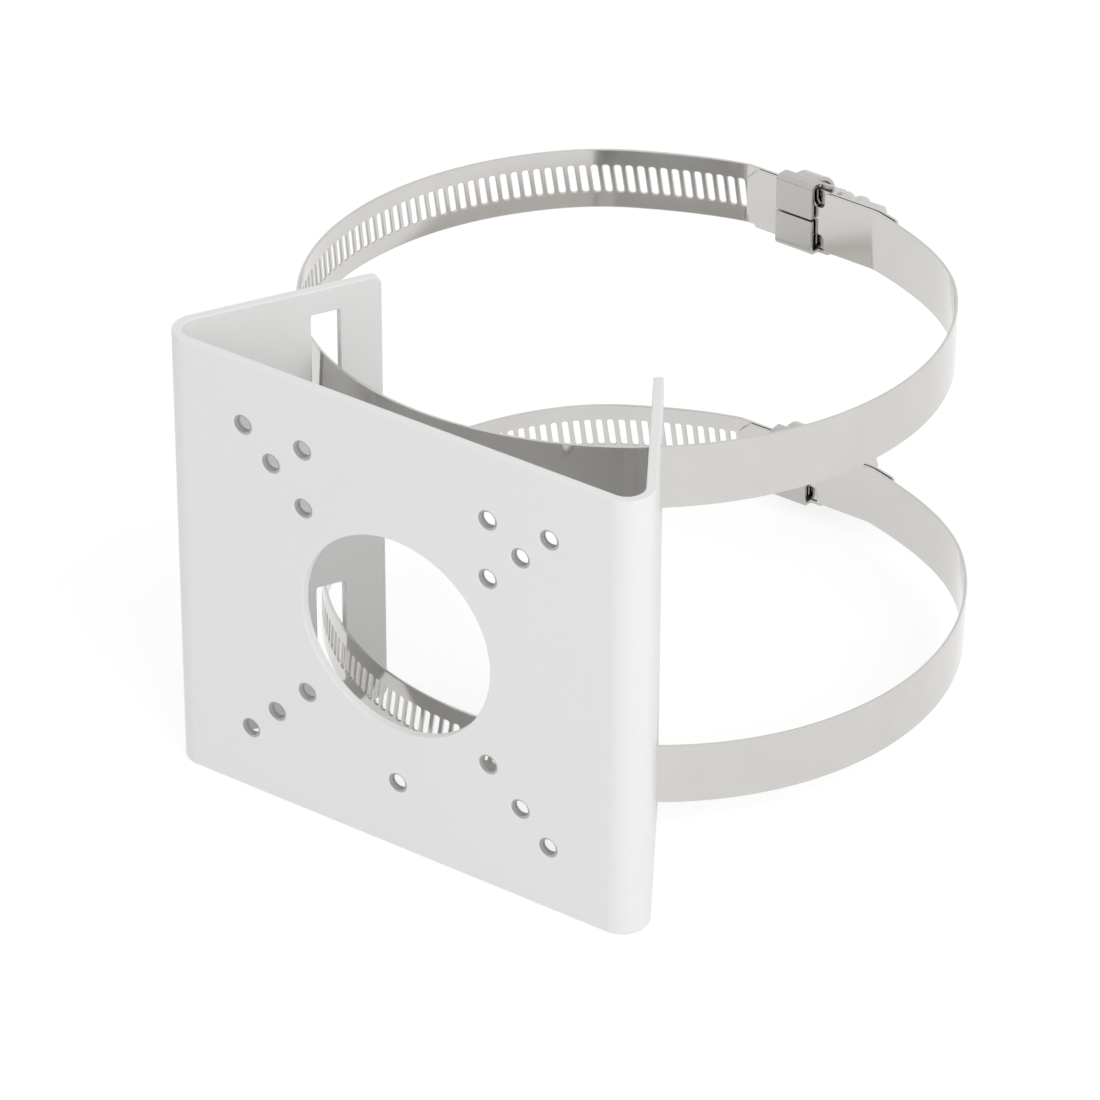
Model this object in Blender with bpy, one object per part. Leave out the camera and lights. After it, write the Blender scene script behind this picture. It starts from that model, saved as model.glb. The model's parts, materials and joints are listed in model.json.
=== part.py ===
"""Camera pole mount bracket: one folded steel plate and two worm-drive band clamps.

Built in metres with +Z up. The plate's front face lies in the XZ plane at Y = 0 and
looks along -Y; the flanges fold back along +Y and lean towards each other, so the
bracket stands on its lower edges at Z = 0. Each clamp is a perforated band, the wrapped
housing that joins its ends, and the worm screw that runs in the housing.
"""

import math

import bmesh
import bpy
from mathutils import Vector

MM = 0.001

# Folded plate
SHEET = 2.0 * MM
PLATE_HEIGHT = 101.0 * MM
FOLD_SPAN = 119.8 * MM          # between the sharp corners the two folds would have
FOLD_INNER_RADIUS = 3.6 * MM
FLANGE_LEAN = math.radians(31.4)  # past square, towards the middle
FLANGE_LENGTH = 50.0 * MM       # from that sharp corner to the rear edge
REAR_CORNER_RADIUS = 2.0 * MM
REAR_CORNER_FACETS = 6
FOLD_FACETS = 10

# Holes in the plate
CENTRE_HOLE = 44.6 * MM
SCREW_HOLE = 4.3 * MM
OUTER_SQUARE = 72.0 * MM
MIDDLE_SQUARE = 58.8 * MM
INNER_SQUARE = 43.6 * MM
UPPER_PAIR_RISE = 35.2 * MM     # above the centre, at the inner square's spacing
LOWER_HOLE_DROP = 35.0 * MM
CENTRE_HOLE_FACETS = 72
SCREW_HOLE_FACETS = 20

# Slots for the bands, two in each flange
SLOT_WIDTH = 6.2 * MM
SLOT_HEIGHT = 25.3 * MM
SLOT_RISE = 32.3 * MM           # slot centre above and below the plate's middle
SLOT_TO_REAR_EDGE = 12.1 * MM   # slot centre to the flange's rear edge

# Band
BAND_RADIUS = 66.3 * MM         # middle of the strip, away from the housing
BAND_WIDTH = 13.5 * MM
BAND_THICKNESS = 0.6 * MM
FLAT_HALF_ANGLE = math.radians(15.2)
FLAT_DROP = 2.6 * MM            # how far the flat's ends sit inside the circle
DROP_ENDS_AT = math.radians(50.0)
LAYER_GAP = 0.4 * MM            # between the two layers at the housing
JOIN_ENDS_AT = math.radians(36.0)
TAIL_ANGLE = math.radians(20.7)
TAIL_MARGIN = 2.0 * MM          # plain stretch before the first slit
NECK_HALF_WIDTH = 3.2 * MM
NECK_START = 0.7 * MM
NECK_END = 3.6 * MM
TIP_CHAMFER = 2.6 * MM
PLAIN_STEP = math.radians(3.0)
SLIT_PITCH = math.radians(2.144)
SLIT_WIDTH = 1.4 * MM
SLIT_LENGTH = 6.1 * MM
SLIT_LEAN = 0.9 * MM

# Housing, in the flat's own frame: along the flat, outward, up the band
EDGE_GAP = 0.4 * MM             # band edge to housing wall
UNDER_GAP = 0.35 * MM           # inner layer to the folded legs
OVER_GAP = 0.35 * MM            # outer layer to the shoulders
HOUSING_SHEET = 0.9 * MM
HOUSING_START = -8.1 * MM
LEGS_END = 1.35 * MM           # the legs folded under the band stop here
ARCH_END = -2.5 * MM
SHOULDERS_END = 4.1 * MM        # the walls and shoulders reach past the arch
SEAM_GAP = 0.4 * MM
ARCH_GAP = 0.35 * MM            # thread crest to the arch
ARCH_FACETS = 12

# Worm screw
THREAD_RADIUS = 4.6 * MM        # over the crests
THREAD_TO_BAND = 0.4 * MM
WORM_START = -7.8 * MM
WORM_END = 4.8 * MM
NECK_RADIUS = 2.6 * MM
COLLAR_RADIUS = 4.6 * MM
COLLAR_START = 6.7 * MM
COLLAR_END = 8.0 * MM
HEX_ACROSS_FLATS = 8.0 * MM
HEX_END = 12.3 * MM
DRIVE_SLOT_WIDTH = 1.3 * MM
DRIVE_SLOT_DEPTH = 2.2 * MM
SCREW_FACETS = 32

# The two clamps: ring centre, slope of the ring, housing angle and perforated reach
CLAMPS = {
    "upper": {
        "centre": (-2.8 * MM, 85.1 * MM, 78.8 * MM),
        "slope": (0.040, -0.066),
        "housing_at": math.radians(85.0),
        "slits_to": math.radians(125.0),
    },
    "lower": {
        "centre": (2.3 * MM, 84.9 * MM, 14.2 * MM),
        "slope": (0.001, -0.033),
        "housing_at": math.radians(89.5),
        "slits_to": math.radians(200.0),
    },
}

# Derived sizes
MIDDLE = PLATE_HEIGHT / 2
FOLD_OUTER_RADIUS = FOLD_INNER_RADIUS + SHEET
HALF_BAND = BAND_WIDTH / 2
LAYER_RISE = BAND_THICKNESS + LAYER_GAP
WORM_RISE = LAYER_RISE + BAND_THICKNESS / 2 + THREAD_TO_BAND + THREAD_RADIUS
FLAT_DISTANCE = (BAND_RADIUS - FLAT_DROP) * math.cos(FLAT_HALF_ANGLE)
ARCH_SIDE = THREAD_RADIUS + ARCH_GAP + HOUSING_SHEET


def clear_scene():
    for thing in list(bpy.data.objects):
        bpy.data.objects.remove(thing, do_unlink=True)


def make_material(name, colour, metallic, roughness):
    material = bpy.data.materials.new(name)
    material.use_nodes = True
    shader = material.node_tree.nodes["Principled BSDF"]
    shader.inputs["Base Color"].default_value = (*colour, 1.0)
    shader.inputs["Metallic"].default_value = metallic
    shader.inputs["Roughness"].default_value = roughness
    return material


def add_object(name, points, faces, material=None, origin=(0.0, 0.0, 0.0)):
    """Make an object from points in the world, with its origin where asked."""
    start = Vector(origin)
    mesh = bpy.data.meshes.new(name)
    mesh.from_pydata([tuple(Vector(p) - start) for p in points], [], faces)
    mesh.validate()
    made = bpy.data.objects.new(name, mesh)
    made.location = start
    bpy.context.collection.objects.link(made)
    if material:
        mesh.materials.append(material)
    return made


def shade(made, degrees=30.0):
    """Smooth the round faces and keep the sharp edges."""
    mesh = made.data
    limit = math.radians(degrees)
    work = bmesh.new()
    work.from_mesh(mesh)
    for face in work.faces:
        face.smooth = True
    for edge in work.edges:
        sharp = not edge.is_manifold or edge.calc_face_angle(0.0) > limit
        edge.smooth = not sharp
    work.to_mesh(mesh)
    work.free()


def prism(outline, low, high, place):
    """Points and faces of a closed prism; the outline runs anticlockwise seen from high."""
    count = len(outline)
    points = [place(u, v, low) for u, v in outline] + [place(u, v, high) for u, v in outline]
    faces = [tuple(reversed(range(count))), tuple(range(count, 2 * count))]
    for i in range(count):
        j = (i + 1) % count
        faces.append((i, j, count + j, count + i))
    return points, faces


def join(pieces):
    """Put several closed pieces into one list of points and faces."""
    points, faces = [], []
    for more_points, more_faces in pieces:
        start = len(points)
        points += more_points
        faces += [tuple(i + start for i in face) for face in more_faces]
    return points, faces


def circle(x, y, radius, count, turn=0.0):
    step = 2 * math.pi / count
    return [
        (x + radius * math.cos(turn + i * step), y + radius * math.sin(turn + i * step))
        for i in range(count)
    ]


def cut(made, cutter_name, points, faces):
    """Cut the closed pieces out of an object with one exact Boolean."""
    cutter = add_object(cutter_name, points, faces)
    cutter.hide_render = True
    cutter.display_type = "WIRE"
    modifier = made.modifiers.new(cutter_name, "BOOLEAN")
    modifier.operation = "DIFFERENCE"
    modifier.solver = "EXACT"
    modifier.object = cutter


# Bracket

def flange_frame(side):
    """Sharp corner, direction along the flange and inward direction for one side."""
    corner = Vector((side * FOLD_SPAN / 2, 0.0, 0.0))
    along = Vector((-side * math.sin(FLANGE_LEAN), math.cos(FLANGE_LEAN), 0.0))
    inward = Vector((-side * math.cos(FLANGE_LEAN), -math.sin(FLANGE_LEAN), 0.0))
    return corner, along, inward


def half_profile(depth):
    """Right half of the folded profile, from the middle out, at a depth into the sheet."""
    radius = FOLD_OUTER_RADIUS - depth
    corner, along, inward = flange_frame(1)
    reach = FOLD_OUTER_RADIUS / math.tan((math.pi / 2 - FLANGE_LEAN) / 2)
    centre_x = corner.x - reach
    points = []
    for i in range(FOLD_FACETS + 1):
        angle = -math.pi / 2 + (math.pi / 2 + FLANGE_LEAN) * i / FOLD_FACETS
        points.append(
            (centre_x + radius * math.cos(angle), FOLD_OUTER_RADIUS + radius * math.sin(angle))
        )
    end = corner + along * FLANGE_LENGTH + inward * depth
    points.append((end.x, end.y))
    return points


def bracket_outline():
    outer = half_profile(0.0)
    inner = half_profile(SHEET)
    mirrored = [(-x, y) for x, y in outer]
    mirrored_inner = [(-x, y) for x, y in inner]
    return list(reversed(mirrored)) + outer + list(reversed(inner)) + mirrored_inner


def plate_cutter(x, z, diameter, facets):
    return prism(
        circle(x, z, diameter / 2, facets),
        -3 * SHEET,
        3 * SHEET,
        lambda u, v, w: (u, -w, v),
    )


def flange_cutter(side, outline):
    """A prism through one flange; the outline is in distance along the flange and height."""
    corner, along, inward = flange_frame(side)
    turned = outline if side < 0 else list(reversed(outline))

    def place(u, v, w):
        return tuple(corner + along * u + inward * (SHEET / 2 + w) + Vector((0.0, 0.0, v)))

    return prism(turned, -2 * SHEET, 2 * SHEET, place)


def rear_corner_outline(top):
    """What a rounded rear corner removes, as an outline along the flange and in height."""
    over = SHEET / 2
    radius = REAR_CORNER_RADIUS
    edge_u = FLANGE_LENGTH
    edge_v = PLATE_HEIGHT if top else 0.0
    sign = 1.0 if top else -1.0
    arc = []
    for i in range(REAR_CORNER_FACETS + 1):
        angle = math.pi / 2 * i / REAR_CORNER_FACETS
        u = edge_u - radius + radius * math.sin(angle)
        v = edge_v + sign * (-radius + radius * math.cos(angle))
        arc.append((u, v))
    outline = arc + [
        (edge_u + over, edge_v - sign * radius),
        (edge_u + over, edge_v + sign * over),
        (edge_u - radius, edge_v + sign * over),
    ]
    return outline if top else list(reversed(outline))


def slot_outline(rise):
    u = FLANGE_LENGTH - SLOT_TO_REAR_EDGE
    v = MIDDLE + rise
    a, b = SLOT_WIDTH / 2, SLOT_HEIGHT / 2
    return [(u - a, v - b), (u + a, v - b), (u + a, v + b), (u - a, v + b)]


def hole_centres():
    centres = []
    for square in (OUTER_SQUARE, MIDDLE_SQUARE, INNER_SQUARE):
        for x in (-square / 2, square / 2):
            for z in (-square / 2, square / 2):
                centres.append((x, MIDDLE + z))
    for x in (-INNER_SQUARE / 2, INNER_SQUARE / 2):
        centres.append((x, MIDDLE + UPPER_PAIR_RISE))
    centres.append((0.0, MIDDLE - LOWER_HOLE_DROP))
    return centres


def build_bracket(material):
    points, faces = prism(bracket_outline(), 0.0, PLATE_HEIGHT, lambda u, v, w: (u, v, w))
    plate = add_object("bracket_plate", points, faces, material)
    shade(plate)
    pieces = [plate_cutter(0.0, MIDDLE, CENTRE_HOLE, CENTRE_HOLE_FACETS)]
    for x, z in hole_centres():
        pieces.append(plate_cutter(x, z, SCREW_HOLE, SCREW_HOLE_FACETS))
    for side in (-1, 1):
        for rise in (-SLOT_RISE, SLOT_RISE):
            pieces.append(flange_cutter(side, slot_outline(rise)))
        for top in (False, True):
            pieces.append(flange_cutter(side, rear_corner_outline(top)))
    points, faces = join(pieces)
    cut(plate, "bracket_plate_cutters", points, faces)
    return plate


# Clamps

class Ring:
    """Frame of one clamp: its centre, its axis and the path of the strip around it."""

    def __init__(self, centre, slope, housing_at):
        self.centre = Vector(centre)
        self.axis = Vector((-slope[0], -slope[1], 1.0)).normalized()
        level = Vector((math.cos(housing_at), math.sin(housing_at), 0.0))
        self.out = (level - self.axis * level.dot(self.axis)).normalized()
        self.around = self.axis.cross(self.out)

    def radius(self, angle):
        size = abs(angle)
        if size <= FLAT_HALF_ANGLE:
            return FLAT_DISTANCE / math.cos(angle)
        if size >= DROP_ENDS_AT:
            return BAND_RADIUS
        share = (size - FLAT_HALF_ANGLE) / (DROP_ENDS_AT - FLAT_HALF_ANGLE)
        return BAND_RADIUS - FLAT_DROP * (0.5 + 0.5 * math.cos(math.pi * share))

    def flat_point(self, angle):
        radius = self.radius(wrap(angle))
        return Vector((radius * math.cos(angle), radius * math.sin(angle)))

    def strip_point(self, angle, up, depth):
        """World point on the strip; depth is measured outward from the path."""
        near = SLIT_PITCH / 40
        if abs(wrap(angle)) < FLAT_HALF_ANGLE + near:
            normal = Vector((1.0, 0.0))
        else:
            step = self.flat_point(angle + near) - self.flat_point(angle - near)
            normal = Vector((step.y, -step.x)).normalized()
        spot = self.flat_point(angle) + normal * depth
        return self.centre + self.out * spot.x + self.around * spot.y + self.axis * up

    def flat_place(self, along, outward, up):
        """World point in the flat's frame; along runs from the tip towards the screw head."""
        return (
            self.centre
            + self.out * (FLAT_DISTANCE + outward)
            - self.around * along
            + self.axis * up
        )


def wrap(angle):
    """The same direction as an angle between minus and plus half a turn."""
    return (angle + math.pi) % (2 * math.pi) - math.pi


def flat_angle(along):
    """Angle on the clamp of a distance along the flat."""
    return -math.atan2(along, FLAT_DISTANCE)


def layer_rise(angle):
    """How far the strip runs outside the inner layer, near its perforated end."""
    if angle <= FLAT_HALF_ANGLE:
        return LAYER_RISE
    if angle >= JOIN_ENDS_AT:
        return 0.0
    share = (angle - FLAT_HALF_ANGLE) / (JOIN_ENDS_AT - FLAT_HALF_ANGLE)
    return LAYER_RISE * (0.5 + 0.5 * math.cos(math.pi * share))


def slit_outline():
    """One slanted slit with rounded ends, as offsets in angle and height."""
    w, half = SLIT_WIDTH, SLIT_LENGTH / 2
    shoulder = half - 0.32 * w
    corners = [
        (-0.27 * w, -half),
        (0.27 * w, -half),
        (0.5 * w, -shoulder),
        (0.5 * w, shoulder),
        (0.27 * w, half),
        (-0.27 * w, half),
        (-0.5 * w, shoulder),
        (-0.5 * w, -shoulder),
    ]
    return [((u + SLIT_LEAN * v / SLIT_LENGTH) / BAND_RADIUS, v) for u, v in corners]


class Sheet:
    """A flat sheet of angle and height that is later wrapped and given its thickness."""

    def __init__(self):
        self.spots = []
        self.index = {}
        self.faces = []

    def spot(self, angle, up):
        key = (round(angle, 7), round(up, 7))
        if key not in self.index:
            self.index[key] = len(self.spots)
            self.spots.append((angle, up))
        return self.index[key]

    def face(self, corners):
        self.faces.append(tuple(self.spot(a, v) for a, v in corners))

    def plain(self, start, end, low=-HALF_BAND, high=HALF_BAND):
        self.face([(start, low), (end, low), (end, high), (start, high)])

    def slit(self, start, end):
        middle = (start + end) / 2
        h = [(middle + a, v) for a, v in slit_outline()]
        c = [(start, -HALF_BAND), (end, -HALF_BAND), (end, HALF_BAND), (start, HALF_BAND)]
        self.face([c[0], c[1], h[1], h[0]])
        self.face([c[1], h[2], h[1]])
        self.face([c[1], c[2], h[3], h[2]])
        self.face([c[2], h[4], h[3]])
        self.face([c[2], c[3], h[5], h[4]])
        self.face([c[3], h[6], h[5]])
        self.face([c[3], c[0], h[7], h[6]])
        self.face([c[0], h[0], h[7]])

    def rims(self):
        """Directed edges that only one face uses."""
        seen = {}
        for face in self.faces:
            for a, b in zip(face, face[1:] + face[:1]):
                seen[(a, b)] = seen.get((a, b), 0) + 1
        return [pair for pair in seen if (pair[1], pair[0]) not in seen]


def neck_cells(sheet, start, end):
    """The inner end: plain, a narrow neck between two side notches, then a chamfered tip."""
    n, b = NECK_HALF_WIDTH, HALF_BAND
    near = end + flat_angle(NECK_END)
    far = end + flat_angle(NECK_START)
    tip = end + FLAT_HALF_ANGLE
    shoulder = end + flat_angle(-FLAT_DISTANCE * math.tan(FLAT_HALF_ANGLE) + TIP_CHAMFER)
    sheet.face([(start, -b), (near, -b), (near, -n)])
    sheet.face([(start, -b), (near, -n), (near, n), (start, b)])
    sheet.face([(start, b), (near, n), (near, b)])
    sheet.plain(near, far, -n, n)
    sheet.face([(far, -b), (shoulder, -b), (far, -n)])
    sheet.face([(far, -n), (shoulder, -b), (shoulder, b), (far, n)])
    sheet.face([(far, n), (shoulder, b), (far, b)])
    small = b - TIP_CHAMFER
    sheet.face([(shoulder, -b), (tip, -small), (tip, small), (shoulder, b)])


def band_sheet(slits_to):
    """The whole strip laid out from its perforated tail to its chamfered inner end."""
    sheet = Sheet()
    whole = 2 * math.pi
    angle = -TAIL_ANGLE
    first = angle + TAIL_MARGIN / BAND_RADIUS
    sheet.plain(angle, first)
    angle = first
    count = int((slits_to - first) / SLIT_PITCH)
    for i in range(count):
        sheet.slit(first + i * SLIT_PITCH, first + (i + 1) * SLIT_PITCH)
    angle = first + count * SLIT_PITCH
    goal = whole - FLAT_HALF_ANGLE
    steps = math.ceil((goal - angle) / PLAIN_STEP)
    for i in range(steps):
        a = angle + (goal - angle) * i / steps
        b = angle + (goal - angle) * (i + 1) / steps
        sheet.plain(a, b)
    neck_cells(sheet, goal, whole)
    return sheet


def build_band(name, ring, slits_to, material):
    sheet = band_sheet(slits_to)
    half = BAND_THICKNESS / 2
    points = []
    for side in (-half, half):
        for angle, up in sheet.spots:
            points.append(ring.strip_point(angle, up, layer_rise(angle) + side))
    count = len(sheet.spots)
    faces = []
    for face in sheet.faces:
        faces.append(tuple(reversed(face)))
        faces.append(tuple(i + count for i in face))
    for a, b in sheet.rims():
        faces.append((a, b, b + count, a + count))
    made = add_object(name, points, faces, material, ring.centre)
    shade(made)
    return made


def housing_profile():
    """Half of the wrapped sheet's section, outside first, as outward and up distances."""
    wall_in = HALF_BAND + EDGE_GAP
    wall_out = wall_in + HOUSING_SHEET
    under_in = -BAND_THICKNESS / 2 - UNDER_GAP
    under_out = under_in - HOUSING_SHEET
    over_in = LAYER_RISE + BAND_THICKNESS / 2 + OVER_GAP
    over_out = over_in + HOUSING_SHEET
    arch_in = THREAD_RADIUS + ARCH_GAP
    arch_out = ARCH_SIDE
    bend = HOUSING_SHEET
    outside = [(under_out, SEAM_GAP / 2), (under_out, wall_out - bend)]
    for i in range(1, 4):
        angle = math.pi / 2 * i / 3
        outside.append(
            (under_out + bend - bend * math.cos(angle), wall_out - bend + bend * math.sin(angle))
        )
    for i in range(4):
        angle = math.pi / 2 * i / 3
        outside.append(
            (over_out - bend + bend * math.sin(angle), wall_out - bend + bend * math.cos(angle))
        )
    outside += arch_points(arch_out, over_out)
    inside = [(under_in, SEAM_GAP / 2), (under_in, wall_in), (over_in, wall_in)]
    inside += arch_points(arch_in, over_in)
    return outside, inside


def arch_points(radius, foot):
    """Half of the arch over the worm: an upright side from its foot, then a quarter round."""
    points = [(foot, radius)]
    for i in range(ARCH_FACETS // 2 + 1):
        angle = math.pi * i / ARCH_FACETS
        points.append((WORM_RISE + radius * math.sin(angle), radius * math.cos(angle)))
    return points


def housing_box(ring, low, high, inner, outer, start):
    """A box that cuts the housing from a distance along the flat to past its end."""
    outline = [(low, inner), (high, inner), (high, outer), (low, outer)]
    return prism(
        outline,
        start,
        SHOULDERS_END + HOUSING_SHEET,
        lambda u, v, w: ring.flat_place(w, u, v),
    )


def build_housing(name, ring, material):
    outside, inside = housing_profile()
    outer = outside + [(h, -w) for h, w in reversed(outside[:-1])]
    inner = inside + [(h, -w) for h, w in reversed(inside[:-1])]
    outline = list(reversed(outer)) + inner
    points, faces = prism(
        outline,
        HOUSING_START,
        SHOULDERS_END,
        lambda u, v, w: ring.flat_place(w, u, v),
    )
    made = add_object(name, points, faces, material, ring.centre)
    shade(made)
    below = -BAND_THICKNESS / 2 - UNDER_GAP - 2 * HOUSING_SHEET
    wide = BAND_WIDTH
    legs = housing_box(ring, below, LAYER_RISE, -wide, wide, LEGS_END)
    cut(made, name + "_legs_cutter", *legs)
    crown = WORM_RISE + ARCH_SIDE + HOUSING_SHEET
    arch = housing_box(ring, LAYER_RISE / 2, crown, -ARCH_SIDE, ARCH_SIDE, ARCH_END)
    cut(made, name + "_arch_cutter", *arch)
    return made


def build_screw(name, ring, material):
    """The worm as a plain cylinder over its thread crests, with neck, collar and hex head."""
    sections = [
        (WORM_START, THREAD_RADIUS),
        (WORM_END, THREAD_RADIUS),
        (WORM_END, NECK_RADIUS),
        (COLLAR_START, NECK_RADIUS),
        (COLLAR_START, COLLAR_RADIUS),
        (COLLAR_END, COLLAR_RADIUS),
    ]
    origin = ring.flat_place((WORM_START + HEX_END) / 2, WORM_RISE, 0.0)
    points = []
    for along, radius in sections:
        for u, v in circle(0.0, 0.0, radius, SCREW_FACETS):
            points.append(ring.flat_place(along, WORM_RISE + u, v))
    faces = [tuple(reversed(range(SCREW_FACETS)))]
    for k in range(len(sections) - 1):
        for i in range(SCREW_FACETS):
            j = (i + 1) % SCREW_FACETS
            a, b = k * SCREW_FACETS, (k + 1) * SCREW_FACETS
            faces.append((a + i, a + j, b + j, b + i))
    last = (len(sections) - 1) * SCREW_FACETS
    hex_radius = HEX_ACROSS_FLATS / math.sqrt(3.0)
    d = DRIVE_SLOT_WIDTH / 2
    edge = HEX_ACROSS_FLATS / 2
    top = [
        (hex_radius, 0.0),
        (hex_radius / 2, edge),
        (d, edge),
        (-d, edge),
        (-hex_radius / 2, edge),
        (-hex_radius, 0.0),
        (-hex_radius / 2, -edge),
        (-d, -edge),
        (d, -edge),
        (hex_radius / 2, -edge),
    ]
    count = len(top)
    foot = len(points)
    points += [ring.flat_place(COLLAR_END, WORM_RISE + u, v) for u, v in top]
    floor = len(points)
    depth = HEX_END - DRIVE_SLOT_DEPTH
    slot = [2, 3, 7, 8]
    points += [ring.flat_place(depth, WORM_RISE + top[k][0], top[k][1]) for k in slot]
    crown = len(points)
    points += [ring.flat_place(HEX_END, WORM_RISE + u, v) for u, v in top]
    ring_faces(faces, last, SCREW_FACETS, foot, top)
    for i in range(count):
        j = (i + 1) % count
        a, b, c, e = foot + i, foot + j, crown + j, crown + i
        if i == 2:
            faces.append((a, b, floor + 1, floor))
        elif i == 7:
            faces.append((a, b, floor + 3, floor + 2))
        elif i == 1:
            faces.append((a, b, floor, crown + j, crown + i))
        elif i == 3:
            faces.append((a, b, c, e, floor + 1))
        elif i == 6:
            faces.append((a, b, floor + 2, crown + j, crown + i))
        elif i == 8:
            faces.append((a, b, c, e, floor + 3))
        else:
            faces.append((a, b, c, e))
    faces.append((floor, floor + 1, floor + 2, floor + 3))
    faces.append((crown + 2, floor, floor + 3, crown + 8))
    faces.append((crown + 7, floor + 2, floor + 1, crown + 3))
    faces.append((crown + 8, crown + 9, crown, crown + 1, crown + 2))
    faces.append((crown + 3, crown + 4, crown + 5, crown + 6, crown + 7))
    made = add_object(name, points, faces, material, origin)
    shade(made)
    return made


def ring_faces(faces, outer, outer_count, inner, outline):
    """Fill the flat step from the collar's rim to the hex's foot."""
    inner_count = len(outline)
    turns = [math.atan2(v, u) % (2 * math.pi) for u, v in outline]
    owner = []
    for i in range(outer_count):
        angle = 2 * math.pi * i / outer_count
        gaps = [abs(wrap(angle - turn)) for turn in turns]
        owner.append(gaps.index(min(gaps)))
    for i in range(outer_count):
        j = (i + 1) % outer_count
        k = owner[i]
        while k != owner[j]:
            step = (k + 1) % inner_count
            faces.append((outer + i, inner + step, inner + k))
            k = step
        faces.append((outer + i, outer + j, inner + owner[j]))


def main():
    clear_scene()
    paint = make_material("painted_steel", (0.80, 0.80, 0.80), 0.0, 0.45)
    band_steel = make_material("band_stainless", (0.62, 0.61, 0.59), 1.0, 0.18)
    housing_steel = make_material("housing_stainless", (0.58, 0.57, 0.55), 1.0, 0.25)
    screw_steel = make_material("screw_steel", (0.50, 0.50, 0.49), 1.0, 0.30)
    build_bracket(paint)
    for label, clamp in CLAMPS.items():
        ring = Ring(clamp["centre"], clamp["slope"], clamp["housing_at"])
        build_band("band_" + label, ring, clamp["slits_to"], band_steel)
        build_housing("housing_" + label, ring, housing_steel)
        build_screw("screw_" + label, ring, screw_steel)


main()
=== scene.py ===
"""Looks of the camera pole mount bracket: a folded plate and two worm-drive band clamps.

Every sheet-metal piece is made the way a press shop makes it. Its flat pattern is an
outline with holes in two lengths, u across the folds and v along them. The pattern is
filled with triangles, given two faces and a rounded rim, and then folded by a function
that turns u, v and a depth into a place. The screws are turned surfaces.
"""

import json
import math

import bpy
import numpy as np
from bpy.props import FloatProperty, FloatVectorProperty, IntProperty, PointerProperty
from mathutils import Matrix, Vector
from mathutils.geometry import delaunay_2d_cdt


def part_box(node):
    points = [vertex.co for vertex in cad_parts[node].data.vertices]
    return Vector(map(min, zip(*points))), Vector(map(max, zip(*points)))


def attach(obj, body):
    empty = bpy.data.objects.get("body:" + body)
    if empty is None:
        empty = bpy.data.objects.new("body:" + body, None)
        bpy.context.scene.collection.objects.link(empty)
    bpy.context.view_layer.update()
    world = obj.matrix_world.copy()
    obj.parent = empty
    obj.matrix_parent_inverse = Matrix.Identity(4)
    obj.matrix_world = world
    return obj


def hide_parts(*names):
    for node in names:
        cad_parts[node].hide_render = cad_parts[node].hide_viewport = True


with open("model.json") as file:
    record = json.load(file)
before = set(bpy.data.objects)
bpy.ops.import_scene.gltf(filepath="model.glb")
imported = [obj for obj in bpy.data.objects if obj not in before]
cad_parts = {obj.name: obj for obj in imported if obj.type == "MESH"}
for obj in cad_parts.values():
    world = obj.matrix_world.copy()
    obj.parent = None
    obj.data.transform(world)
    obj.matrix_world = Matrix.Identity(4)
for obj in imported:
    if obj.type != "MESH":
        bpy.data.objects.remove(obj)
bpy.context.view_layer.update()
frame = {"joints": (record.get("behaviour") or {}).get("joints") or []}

bl_info = {
    "name": "Pole Mount Bracket",
    "version": (1, 0, 0),
    "blender": (4, 5, 0),
    "location": "3D View > Sidebar > Bracket",
    "description": "Folded bracket plate, band clamps and a plain stage around the packed model",
    "category": "Add Mesh",
}

MM = 0.001
CLAMP_NAMES = ("upper", "lower")
JOINTS = {joint["name"]: joint for joint in frame["joints"]}
PLATE_LOW, PLATE_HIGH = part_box("bracket_plate")
THREAD_STEPS = 48               # steps round a tapped hole
THREAD_ROWS = 24                # rows along a tapped hole
THREAD_INSET = 0.2 * MM         # the thread stops this far from both faces
THREAD_FILL = 0.85              # share of the thread's depth that its wave takes up
SLEEVE_OVERLAP = 0.05 * MM      # the sleeve's outer side lies this far inside the sheet
CREST_START, CREST_SLOPE = 0.22, 0.36    # where the worm's ridge rises, and over what share of the lead
FLOOR_HALF = 6.0                # half the floor's side, in metres
FLOOR_DROP = 0.2 * MM           # the floor lies this far under the part


def length(name, description, millimetres):
    return FloatProperty(
        name=name, description=description, default=millimetres * MM, precision=5, unit="LENGTH"
    )


def angle(name, description, degrees):
    return FloatProperty(
        name=name, description=description, default=math.radians(degrees), subtype="ANGLE"
    )


def colour(name, description, value):
    return FloatVectorProperty(
        name=name, description=description, default=value, subtype="COLOR", min=0.0, max=1.0
    )


def share(name, description, value):
    return FloatProperty(
        name=name, description=description, default=value, min=0.0, subtype="FACTOR"
    )


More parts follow.
